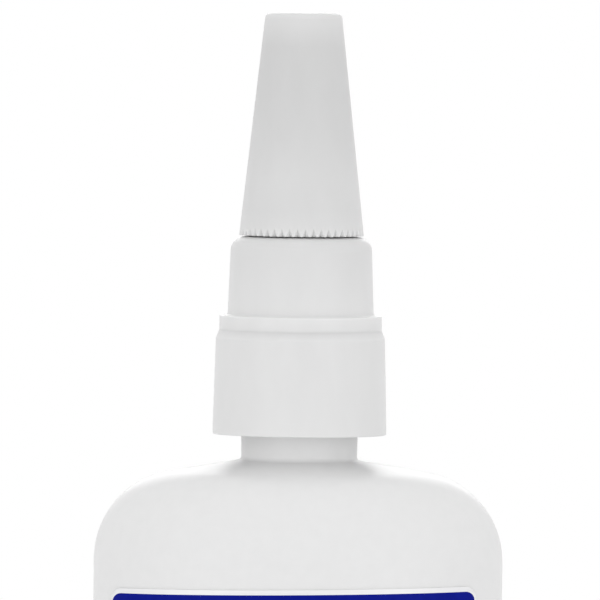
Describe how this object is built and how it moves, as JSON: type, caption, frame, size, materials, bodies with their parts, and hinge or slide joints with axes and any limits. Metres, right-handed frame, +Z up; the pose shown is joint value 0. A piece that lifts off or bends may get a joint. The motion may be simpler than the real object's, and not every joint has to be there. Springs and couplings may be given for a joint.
{
  "type": "super glue bottle",
  "caption": "Oval white squeeze bottle of instant adhesive with a screw collar, a dripping nozzle and a tall tapered screw cap",
  "frame": {"origin": "middle of the base, on the plane the bottle stands on", "axes": "+Z up the axis of the neck, +X along the width of the oval body, the labelled front faces -Y"},
  "size_m": [0.04, 0.0261, 0.1237],
  "materials": {
    "bottle_plastic": "satin",
    "label_film": "gloss",
    "liquid": "gloss",
    "nozzle_plastic": "satin",
    "closure_plastic": "satin",
    "pin_steel": "polished"
  },
  "bodies": {
    "bottle_body": {"bottle": "bottle_plastic", "front_label": "label_film", "adhesive": "liquid"},
    "nozzle_body": {"nozzle": "nozzle_plastic"},
    "collar_body": {"screw_collar": "closure_plastic"},
    "pin_body": {"cap_pin": "pin_steel"},
    "cap_body": {"cap": "closure_plastic"}
  },
  "joints": [
    {"name": "collar_lift", "type": "slide", "parent": "bottle_body", "child": "nozzle_body", "axis": [0, 0, 1], "range_m": [0, 0.013]},
    {"name": "collar_turn", "type": "hinge", "parent": "nozzle_body", "child": "collar_body", "pos_m": [0, 0, 0.09], "axis": [0, 0, 1], "range_deg": [0, 2215]},
    {"name": "cap_lift", "type": "slide", "parent": "nozzle_body", "child": "pin_body", "axis": [0, 0, 1], "range_m": [0, 0.021]},
    {"name": "cap_turn", "type": "hinge", "parent": "pin_body", "child": "cap_body", "pos_m": [0, 0, 0.105], "axis": [0, 0, 1], "range_deg": [0, 2525]}
  ],
  "couplings": [
    {"joint": "collar_turn", "follows": "collar_lift", "rad_per_m": 2968},
    {"joint": "cap_turn", "follows": "cap_lift", "rad_per_m": 2094.4}
  ]
}
